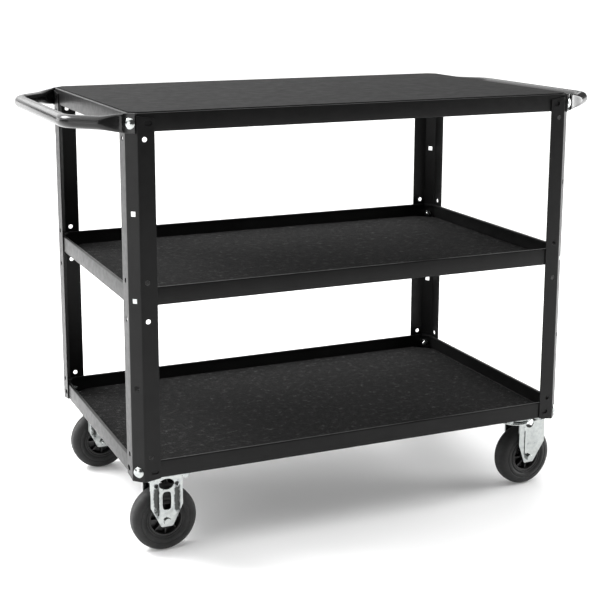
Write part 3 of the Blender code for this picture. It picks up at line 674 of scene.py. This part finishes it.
def handle(side, name):
    bm = bmesh.new()
    rings = []
    for place, out, radius in handle_stations(side):
        ring = []
        for across, up in tube_section(radius):
            p = place + out * across
            ring.append(bm.verts.new((p.x, p.y, HANDLE_Z + up)))
        rings.append(ring)
    for near, far in zip(rings, rings[1:]):
        for i in range(len(near)):
            j = (i + 1) % len(near)
            bm.faces.new((near[i], near[j], far[j], far[i]))
    bm.faces.new(rings[0])
    bm.faces.new(list(reversed(rings[-1])))
    bmesh.ops.remove_doubles(bm, verts=bm.verts, dist=0.00001)
    bmesh.ops.recalc_face_normals(bm, faces=bm.faces)
    obj = temporary(bm)
    combine(obj, tool(*corner_cuts(BOLT_HEIGHTS["top"])))
    return crisp(take(obj, name), 40)


def handles():
    for end, side in (("left", -1.0), ("right", 1.0)):
        show(f"tube_handle_{end}", handle(side, f"tube_{end}"), "gloss_tube", "frame", [f"handle_{end}"])


# ---------------------------------------------------------------- fasteners

def thread(radius, high, low):
    """Profile of a screw thread, drawn as close rings."""
    points, z = [], high
    depth = 0.55 * THREAD_PITCH
    while z - THREAD_PITCH > low:
        points.append((radius - depth, z))
        points += [(radius, z - 0.45 * THREAD_PITCH), (radius, z - 0.55 * THREAD_PITCH)]
        z -= THREAD_PITCH
    return points + [(radius - depth, z), (radius - depth, low)]


def carriage_bolt():
    ball = (HEAD_RADIUS ** 2 + HEAD_HEIGHT ** 2) / (2 * (HEAD_HEIGHT - 0.0006))
    profile = [(0.0, HEAD_HEIGHT)]
    for i in range(1, 11):
        r = HEAD_RADIUS * 0.97 * math.sin(math.pi / 2 * i / 10)
        profile.append((r, HEAD_HEIGHT - ball + math.sqrt(ball * ball - r * r)))
    profile += [(HEAD_RADIUS, 0.0005), (HEAD_RADIUS - 0.0002, 0.0), (BOLT_RADIUS, 0.0)]
    profile += [(BOLT_RADIUS, -0.006)] + thread(BOLT_RADIUS, -0.0062, -BOLT_LENGTH + 0.0005)
    profile += [(0.0, -BOLT_LENGTH)]
    obj = temporary(lathe(profile, 48))
    neck = (NECK, NECK, NECK_LENGTH)
    combine(obj, tool((box_in, neck, at(0, 0, 0.0003 - NECK_LENGTH / 2))), "UNION")
    return crisp(take(obj, "carriage_bolt"))


def stud():
    profile = [(0.0, -0.001), (BOLT_RADIUS, -0.001), (BOLT_RADIUS, -0.005)]
    profile += thread(BOLT_RADIUS, -0.0052, -STUD_LENGTH + 0.0005) + [(0.0, -STUD_LENGTH)]
    obj = temporary(lathe(profile, 40))
    combine(obj, tool((box_in, (NECK, NECK, STUD_HEAD), at(0, 0, -STUD_HEAD / 2))), "UNION")
    soften(obj, 0.0002)
    return take(obj, "stud")


def nut():
    """Hexagon with its corners turned off on both faces, running down -Z."""
    corner, thickness = NUT_FLATS / math.sqrt(3), NUT_THICKNESS
    obj = tool((rod_in, corner, thickness, at(0, 0, -thickness / 2) @ turn(30, "Z"), 6))
    slope = (corner - NUT_FLATS / 2) * 0.62
    turned = [(0.0, 0.0), (NUT_FLATS / 2 * 0.98, 0.0), (corner * 1.01, -slope)]
    turned += [(corner * 1.01, slope - thickness), (NUT_FLATS / 2 * 0.98, -thickness), (0.0, -thickness)]
    combine(obj, temporary(lathe(turned, 64)), "INTERSECT")
    bore = [(0.0, 0.001), (HOLE_RADIUS + 0.0015, 0.001), (HOLE_RADIUS, -0.0006)]
    bore += [(HOLE_RADIUS, 0.0006 - thickness), (HOLE_RADIUS + 0.0015, -thickness - 0.001)]
    combine(obj, temporary(lathe(bore + [(0.0, -thickness - 0.001)], 40)))
    return crisp(take(obj, "hex_nut"), 20)


def fasteners(nut_mesh):
    bolt_mesh, stud_mesh = carriage_bolt(), stud()
    seat = at(0, 0, -(POST_SHEET + TRAY_SHEET + 2 * FIT))
    for corner, place in CORNERS.items():
        for level, z in BOLT_HEIGHTS.items():
            face = corner_frame(*place, z)
            stack = FIT if level == "bottom" else 2 * TAB_HALF + 2 * FIT
            show(f"carriage_bolt_{level}_{corner}", bolt_mesh, "zinc", "frame",
                 [f"bolt_{level}_{corner}"], face @ at(0, 0, stack))
            show(f"hex_nut_{level}_{corner}", nut_mesh, "zinc", "frame",
                 [f"nut_{level}_{corner}"], face @ seat)
        face = corner_frame(*place, STUD_HEIGHT)
        show(f"square_stud_{corner}", stud_mesh, "zinc", "frame", [f"stud_middle_{corner}"], face)
        show(f"hex_nut_middle_{corner}", nut_mesh, "zinc", "frame",
             [f"nut_middle_{corner}"], face @ seat)


# ---------------------------------------------------------------- casters

def tyre():
    """Solid rubber tyre: round tread, shoulder line, bead ring and a lip on the rim.

    The profile of half of it runs from the tread's middle in to the rim, as (radius, half width).
    """
    shoulder = 0.0125
    half = [(WHEEL, 0.0), (WHEEL, 0.0050)] + arc(WHEEL - shoulder, 0.0056, shoulder, 0, 88, 8)
    half += [(0.0484, TREAD_HALF - 0.0003), (0.0478, TREAD_HALF - 0.0010), (0.0470, TREAD_HALF - 0.0010)]
    half += [(0.0463, TREAD_HALF - 0.0003), (0.0430, TREAD_HALF), (0.0395, TREAD_HALF - 0.0005)]
    half += [(0.0380, TREAD_HALF - 0.0022), (0.0368, TREAD_HALF - 0.0024), (0.0358, TREAD_HALF - 0.0012)]
    half += [(0.0345, TREAD_HALF - 0.0011), (RIM + FIT, TREAD_HALF - 0.0020)]
    lower = [(r, -z) for r, z in half[1:]]
    return crisp(take(temporary(lathe(half[::-1] + lower, 128, True)), "tyre"), 50)


def hub():
    """Moulded hub: rim, dished web, eight ribs and a boss.

    The profile of half of it runs from the rim in to the bore, as (radius, half width).
    """
    half = [(RIM, 0.0158), (RIM - 0.0006, 0.0164), (RIM - 0.0030, 0.0164), (RIM - 0.0036, 0.0158)]
    half += [(0.0283, 0.0060), (0.0270, 0.0046), (0.0140, 0.0040), (0.0122, 0.0052)]
    half += [(0.0112, HUB_HALF - 0.0006), (0.0106, HUB_HALF)]
    half += [(BORE + 0.0006, HUB_HALF), (BORE, HUB_HALF - 0.0006)]
    lower = [(r, -z) for r, z in half]
    obj = temporary(lathe(half[::-1] + lower, 80, True))
    rib = [(0.0100, -0.0168), (0.0100, 0.0168), (0.0296, 0.0125), (0.0296, -0.0125)]
    combine(obj, tool(*[(rib_in, rib, 0.0011, turn(45 * i, "Z")) for i in range(8)]), "UNION")
    soften(obj, 0.0003, 2, 40)
    return take(obj, "hub")


def rib_in(bm, outline, half, matrix):
    """Flat rib in a plane through the axis, from an (r, z) outline."""
    made = bmesh.new()
    prism_in(made, outline, -half, half)
    mesh = bpy.data.meshes.new("rib")
    made.to_mesh(mesh)
    made.free()
    mesh.transform(matrix)
    bm.from_mesh(mesh)
    bpy.data.meshes.remove(mesh)


def axle():
    """Axle bolt with spacer sleeve; the head is at +Z."""
    inner, face = FORK_HALF - FORK_SHEET - FIT, FORK_HALF + FIT
    end = FORK_HALF + 0.0105
    profile = [(0.0, face + 0.001), (BOLT_RADIUS, face + 0.001), (BOLT_RADIUS, inner)]
    profile += [(AXLE_RADIUS - 0.0003, inner), (AXLE_RADIUS, inner - 0.0003), (AXLE_RADIUS, 0.0003 - inner)]
    profile += [(AXLE_RADIUS - 0.0003, -inner), (BOLT_RADIUS, -inner)]
    profile += thread(BOLT_RADIUS, -inner - 0.0005, 0.0005 - end) + [(0.0, -end)]
    obj = temporary(lathe(profile, 40))
    corner = NUT_FLATS / math.sqrt(3)
    high = face + AXLE_HEAD
    head = tool((rod_in, corner, AXLE_HEAD, at(0, 0, (high + face) / 2), 6))
    dome = [(0.0, high), (NUT_FLATS / 2 * 0.95, high), (corner * 1.01, high - 0.0009)]
    dome += [(corner * 1.01, face), (0.0, face)]
    combine(head, temporary(lathe(dome, 64)), "INTERSECT")
    combine(obj, head, "UNION")
    return crisp(take(obj, "axle"), 20)


def bump(value, centre, half):
    """Smooth hump from 0 to 1 and back, half wide on each side."""
    t = max(0.0, 1 - abs(value - centre) / half)
    return t * t * (3 - 2 * t)


def ledge(value, start, end):
    """Smooth rise from 0 at start to 1 at end."""
    t = min(1.0, max(0.0, (value - start) / (end - start)))
    return t * t * (3 - 2 * t)


def fixed_press(x, z):
    """Pressing of the fixed bracket: two long flutes and a raised frame round the window."""
    rise = ledge(z, 0.070, 0.080) * (1 - ledge(z, 0.130, 0.138))
    flutes = bump(abs(x), 0.0200, 0.0066) * rise
    frame_edge = bump(math.hypot(x / 0.0135, (z - 0.1025) / 0.0215), 1.0, 0.30)
    waist = bump(z, 0.066, 0.012) * bump(x, 0.0, 0.020)
    return -0.0038 * flutes + 0.0010 * frame_edge - 0.0008 * waist


def swivel_press(x, z):
    """Pressing of the swivel leg: a step along its leading edge and a shallow dish."""
    rise = ledge(z, 0.064, 0.074) * (1 - ledge(z, 0.126, 0.134))
    step = bump(x, TRAIL - 0.0125, 0.0030) * rise
    dish = bump(x, TRAIL + 0.018, 0.019) * bump(z, 0.100, 0.034)
    return -0.0018 * step - 0.0016 * dish


def pressed_channel(low_x, high_x, top, press):
    """Sheet bent to an upside-down U across Y, with a pressing on both legs; z from the floor."""
    w, low = FORK_HALF, LEG_END
    shape = rounded([(0.0, -w, low), (0.0, -w, top), (0.0, w, top), (0.0, w, low)], FORK_BEND, 6, False)
    rows = round((top - FORK_BEND - low) / 0.0018)
    leg = [Vector((0.0, -w, low + (shape[1].z - low) * i / rows)) for i in range(rows)]
    path = leg + shape[1:-1] + [Vector((0.0, w, p.z)) for p in reversed(leg)]
    columns = round((high_x - low_x) / 0.0016)
    bm = bmesh.new()
    grid = []
    for i in range(columns + 1):
        x = low_x + (high_x - low_x) * i / columns
        line = []
        for p in path:
            y = p.y + math.copysign(press(x, p.z), p.y) if abs(p.y) > w - 1e-6 else p.y
            line.append(bm.verts.new((x, y, p.z)))
        grid.append(line)
    for near, far in zip(grid, grid[1:]):
        for i in range(len(path) - 1):
            bm.faces.new((near[i], far[i], far[i + 1], near[i + 1]))
    bmesh.ops.recalc_face_normals(bm, faces=bm.faces)
    crown = min(bm.faces, key=lambda f: -f.calc_center_median().z)
    if crown.normal.z < 0:
        bmesh.ops.reverse_faces(bm, faces=bm.faces)
    return bm


def leg_side(axle_x, back, front, top, flare):
    """Side view of a leg: concave flares under the plate, straight sides, tapered blunt tip."""
    left, right = [(axle_x - back, top)], [(axle_x + front, top)]
    if flare:
        angles = [math.radians(a) for a in range(0, 91, 15)]
        curve = [(flare * (1 - math.sin(a)), flare * (1 - math.cos(a))) for a in angles]
        left = [(axle_x - back - out, top - down) for out, down in curve]
        right = [(axle_x + front + out, top - down) for out, down in reversed(curve)]
    tip = [(axle_x - back, SHOULDER_Z), (axle_x - 0.0120, TIP_Z), (axle_x - 0.0095, TIP_Z - 0.0015)]
    tip += [(axle_x + 0.0095, TIP_Z - 0.0015), (axle_x + 0.0120, TIP_Z), (axle_x + front, SHOULDER_Z)]
    return left + tip + right


def oval(x, z, half_x, half_z, waist=0.0, power=1.0, count=48):
    """Outline of an oval; a waist and a power under 1 make it a keyhole window."""
    outline = []
    for i in range(count):
        angle = 2 * math.pi * i / count
        rise = math.sin(angle)
        half = half_x * (1 - waist * (1 - rise * rise))
        across = math.copysign(abs(math.cos(angle)) ** power, math.cos(angle))
        outline.append((x + half * across, z + half_z * rise))
    return outline


def plate_in(bm, low, high):
    """Mounting plate with rounded corners."""
    a, b = PLATE_X / 2, PLATE_Y / 2
    plan = rounded([(a, -b, 0), (a, b, 0), (-a, b, 0), (-a, -b, 0)], PLATE_CORNER, 6, True)
    base = [bm.verts.new((p.x, p.y, low)) for p in plan]
    top = [bm.verts.new((p.x, p.y, high)) for p in plan]
    faces = [bm.faces.new(list(reversed(base))), bm.faces.new(top)]
    for i in range(len(plan)):
        j = (i + 1) % len(plan)
        faces.append(bm.faces.new((base[i], base[j], top[j], top[i])))
    bmesh.ops.recalc_face_normals(bm, faces=faces)


def plate_holes(z):
    """Cutters for a mounting plate's four bolt holes."""
    places = [(i * PLATE_HOLE_X, j * PLATE_HOLE_Y) for i in (-1, 1) for j in (-1, 1)]
    return [(rod_in, HOLE_RADIUS, 0.02, at(x, y, z)) for x, y in places]


def crown_notch(outline):
    """Cutters for the same notch in the bend of both legs."""
    return [(prism_in, outline, s * FORK_HALF - FORK_BEND, s * FORK_HALF + FORK_BEND) for s in (-1, 1)]


def fixed_bracket():
    """Bracket of a fixed caster: origin on the floor under its axle."""
    top = BOTTOM_Z - FIT - PLATE_SHEET
    obj = temporary(pressed_channel(-0.0424, 0.0424, top + 0.0006, fixed_press))
    sheet_metal(obj, FORK_SHEET)
    side = leg_side(0.0, 0.0313, 0.0313, top + 0.002, 0.0110)
    combine(obj, tool((prism_in, side, -0.05, 0.05)), "INTERSECT")
    combine(obj, tool((plate_in, top, top + PLATE_SHEET)), "UNION")
    window = oval(0.0, 0.1025, 0.0103, 0.0175, 0.18, 0.5)
    bore = (rod_in, HOLE_RADIUS, 0.08, at(0, 0, WHEEL) @ ALONG_Y)
    combine(obj, tool((prism_in, window, -0.05, 0.05), bore, *plate_holes(top)))
    combine(obj, tool(*crown_notch(oval(0.0, 0.1350, 0.0150, 0.0105))))
    soften(obj, 0.00045, 2, 48)
    return take(obj, "fixed_bracket")


def swivel_fork():
    """Fork of a swivel caster: origin on the floor under its king pin, wheel trailing to +X."""
    back, front = TRAIL - FORK_BACK - 0.0002, TRAIL + FORK_FRONT + 0.0002
    obj = temporary(pressed_channel(back, front, CROWN_TOP, swivel_press))
    sheet_metal(obj, FORK_SHEET)
    side = leg_side(TRAIL, FORK_BACK, FORK_FRONT, CROWN_TOP + 0.002, 0.0)
    combine(obj, tool((prism_in, side, -0.05, 0.05)), "INTERSECT")
    low, skirt, inner = CROWN_TOP - FORK_SHEET, 0.0040, CROWN_RADIUS - FORK_SHEET
    edge = [(CROWN_RADIUS - skirt + r, CROWN_TOP - skirt + z) for r, z in arc(0, 0, skirt, 90, 0, 5)]
    crown = [(0.0, CROWN_TOP)] + edge + [(CROWN_RADIUS, CROWN_TOP - skirt - 0.001)]
    crown += [(inner, CROWN_TOP - skirt - 0.001), (inner, low), (0.0, low)]
    combine(obj, temporary(lathe(crown, 72)), "UNION")
    combine(obj, tool(*crown_notch(oval(TRAIL, CROWN_TOP - 0.0055, 0.0110, 0.0125))))
    bore = (rod_in, HOLE_RADIUS, 0.08, at(TRAIL, 0, WHEEL) @ ALONG_Y)
    combine(obj, tool(bore, (rod_in, 0.009, 0.02, at(0, 0, CROWN_TOP))))
    soften(obj, 0.00045, 2, 48)
    return take(obj, "swivel_fork")


def swivel_plate():
    """Top plate of a swivel caster, z from the floor."""
    obj = tool((plate_in, BOTTOM_Z - FIT - PLATE_SHEET, BOTTOM_Z - FIT))
    combine(obj, tool(*plate_holes(BOTTOM_Z)))
    soften(obj, 0.0004)
    return take(obj, "swivel_plate")


def king_pin():
    """Riveted pin: shank up to the plate, round head under the crown."""
    high, under = BOTTOM_Z - FIT - PLATE_SHEET, CROWN_TOP - FORK_SHEET - 0.0006
    profile = [(0.0, high), (0.008, high), (0.008, under), (0.0112, under), (0.012, under - 0.0008)]
    profile += [(0.012, under - 0.0030), (0.0105, under - 0.0046), (0.0070, under - 0.0055)]
    profile.append((0.0, under - 0.0055))
    return crisp(take(temporary(lathe(profile, 64)), "king_pin"))


def ball_race():
    """Two pressed rings with the ball gap between them."""
    high, low = BOTTOM_Z - 2 * FIT - PLATE_SHEET, CROWN_TOP + FIT
    mid, r = (high + low) / 2, RACE_RADIUS
    profile = [(0.009, high), (r - 0.007, high), (r - 0.002, high - 0.0010), (r - 0.0003, mid + 0.0022)]
    profile += [(r, mid + 0.0012), (r - 0.0004, mid + 0.0006), (r - 0.0022, mid + 0.0005)]
    profile += [(r - 0.0022, mid - 0.0005), (r - 0.0004, mid - 0.0006), (r, mid - 0.0012)]
    profile += [(r - 0.0003, mid - 0.0022), (r - 0.002, low + 0.0010), (r - 0.007, low), (0.009, low)]
    return crisp(take(temporary(lathe(profile, 96, True)), "ball_race"), 40)


def plate_bolt():
    """Low round head on the shelf's floor and a threaded end through the plate; z from the floor."""
    head = BOTTOM_Z + TRAY_SHEET + 0.0001
    profile = [(0.0, head + 0.0026), (0.0040, head + 0.0024), (0.0062, head + 0.0012), (0.0068, head)]
    profile += [(BOLT_RADIUS, head), (BOLT_RADIUS, head - 0.004)]
    profile += thread(BOLT_RADIUS, head - 0.0042, 0.1478) + [(0.0, 0.1474)]
    return crisp(take(temporary(lathe(profile, 40)), "plate_bolt"))


def casters(nut_mesh):
    meshes = {"tyre": tyre(), "hub": hub(), "axle": axle()}
    spins = {j["child"]: j for j in frame["joints"] if j["name"].startswith("wheel_spin")}
    fixed_mesh, fork_mesh = fixed_bracket(), swivel_fork()
    # The bracket and fork zinc carries painted shade in its pressed grooves.
    fixed_mesh.materials.append(FLUTED_ZINC_PAINTED_SHADE)
    fork_mesh.materials.append(STEPPED_ZINC_PAINTED_SHADE)
    plate_mesh, pin_mesh, race_mesh = swivel_plate(), king_pin(), ball_race()
    for corner, (_, sy) in CORNERS.items():
        joint = spins[f"wheel_{corner}"]
        y_axis = Vector(joint["axis"])
        z_axis = Vector((0.0, 0.0, 1.0))
        axes = Matrix((y_axis.cross(z_axis), y_axis, z_axis)).transposed().to_4x4()
        centre = Matrix.Translation(joint["pos_m"]) @ axes
        holder = "frame" if corner in LEFT else f"swivel_{corner}"
        show(f"rubber_tyre_{corner}", meshes["tyre"], "rubber_tyre", f"wheel_{corner}",
             [f"tyre_{corner}"], centre @ ALONG_Y)
        show(f"wheel_hub_{corner}", meshes["hub"], "hub_plastic", f"wheel_{corner}",
             [f"hub_{corner}"], centre @ ALONG_Y)
        lay = ALONG_Y if sy > 0 else ALONG_Y @ turn(180, "X")
        show(f"axle_bolt_{corner}", meshes["axle"], "zinc", holder, [f"axle_{corner}"], centre @ lay)
        seat = centre @ lay @ at(0, 0, -FORK_HALF - FIT)
        show(f"axle_hex_nut_{corner}", nut_mesh, "zinc", holder, [f"axle_nut_{corner}"], seat)
        if corner in LEFT:
            show(f"caster_bracket_{corner}", fixed_mesh, "zinc", "frame",
                 [f"fixed_bracket_{corner}"], at(FIXED_X, sy * FIXED_Y, 0))
            continue
        place = at(SWIVEL_X, sy * SWIVEL_Y, 0)
        show(f"caster_plate_{corner}", plate_mesh, "zinc", "frame", [f"swivel_plate_{corner}"], place)
        show(f"king_pin_{corner}", pin_mesh, "zinc", "frame", [], place)
        show(f"ball_race_{corner}", race_mesh, "zinc", holder, [f"swivel_bearing_{corner}"], place @ axes)
        show(f"caster_fork_{corner}", fork_mesh, "zinc", holder, [f"swivel_fork_{corner}"], place @ axes)
    bolt_mesh = plate_bolt()
    seat_z = BOTTOM_Z - 2 * FIT - PLATE_SHEET
    for i, (x, y) in enumerate(plate_hole_places()):
        show(f"plate_bolt_{i + 1:02d}", bolt_mesh, "zinc", "frame", [], at(x, y, 0))
        show(f"plate_nut_{i + 1:02d}", nut_mesh, "zinc", "frame", [], at(x, y, seat_z))


# ---------------------------------------------------------------- studio

def floor_and_light():
    """Floor out to the horizon behind the cart, ending a little way in front of it."""
    bm = bmesh.new()
    bmesh.ops.create_grid(bm, x_segments=1, y_segments=1, size=FLOOR_REACH)
    for vert in bm.verts:
        vert.co.y = max(vert.co.y, FLOOR_FRONT)
    mesh = bpy.data.meshes.new("floor")
    bm.to_mesh(mesh)
    bm.free()
    mesh.materials.append(pale_floor())
    floor = bpy.data.objects.new("floor", mesh)
    bpy.context.scene.collection.objects.link(floor)
    world = bpy.data.worlds.new("studio")
    world.use_nodes = True
    studio_air(world.node_tree)
    bpy.context.scene.world = world
    sky = bpy.data.lights.new("overhead", "SUN")
    sky.energy = OVERHEAD_POWER
    sky.angle = math.radians(OVERHEAD_SPREAD)
    obj = bpy.data.objects.new("overhead", sky)
    obj.rotation_euler = (*[math.radians(tilt) for tilt in OVERHEAD_TILT], 0.0)
    bpy.context.scene.collection.objects.link(obj)
    softbox("backdrop", (1.6, 6.0, 1.3), (7.0, 2.6), 55.0, (1.6, 0.0, 1.3))
    softbox("left_front", (-3.6, -1.3, 1.1), (2.2, 2.2), 34.0)
    softbox("left_rear", (-3.0, 3.0, 0.9), (1.6, 1.6), 30.0)
    softbox("right_low", (3.2, -0.6, 1.0), (2.0, 2.0), 110.0, (0.0, 0.0, 0.0))
    softbox("left_floor", (-1.9, 1.1, 2.3), (1.2, 1.2), 90.0, (-1.5, 0.9, 0.0))


def studio_air(tree):
    """Dim surroundings that light the cart, seen as a white wall beyond the floor."""
    dim, wall = tree.nodes["Background"], tree.nodes.new("ShaderNodeBackground")
    dim.inputs["Strength"].default_value = SURROUNDINGS
    for background in (dim, wall):
        background.inputs["Color"].default_value = (1.0, 1.0, 1.0, 1.0)
    seen, mix = tree.nodes.new("ShaderNodeLightPath"), tree.nodes.new("ShaderNodeMixShader")
    tree.links.new(seen.outputs["Is Camera Ray"], mix.inputs["Fac"])
    tree.links.new(dim.outputs["Background"], mix.inputs[1])
    tree.links.new(wall.outputs["Background"], mix.inputs[2])
    tree.links.new(mix.outputs["Shader"], tree.nodes["World Output"].inputs["Surface"])


def softbox(name, place, size, power, target=(0.0, 0.0, 0.45)):
    """Unseen area light, width by height, aimed at the cart's middle unless told otherwise."""
    light = bpy.data.lights.new(name, "AREA")
    light.shape = "RECTANGLE"
    light.size, light.size_y = size
    light.energy = power
    obj = bpy.data.objects.new(name, light)
    obj.location = place
    obj.rotation_euler = (Vector(target) - Vector(place)).to_track_quat("-Z", "Y").to_euler()
    obj.visible_camera = False
    bpy.context.scene.collection.objects.link(obj)


def camera():
    lens = bpy.data.cameras.new("camera")
    lens.sensor_width = 36.0
    lens.lens = LENS
    lens.shift_x, lens.shift_y = LENS_SHIFT
    lens.clip_end = 60.0
    obj = bpy.data.objects.new("camera", lens)
    obj.location = CAMERA_PLACE
    obj.rotation_euler = (math.radians(90 + CAMERA_PITCH), 0.0, math.radians(CAMERA_TURN))
    bpy.context.scene.collection.objects.link(obj)
    bpy.context.scene.camera = obj


def main():
    bpy.context.scene.view_settings.view_transform = "Standard"
    camera()
    for corner, (sx, sy) in CORNERS.items():
        strip = post(sx, sy, f"strip_{corner}")
        show(f"corner_post_{corner}", strip, "powder_coat", "frame", [f"post_{corner}"])
    shelves()
    mats()
    handles()
    nut_mesh = nut()
    fasteners(nut_mesh)
    casters(nut_mesh)
    floor_and_light()
    bpy.data.collections.remove(workshop)


main()
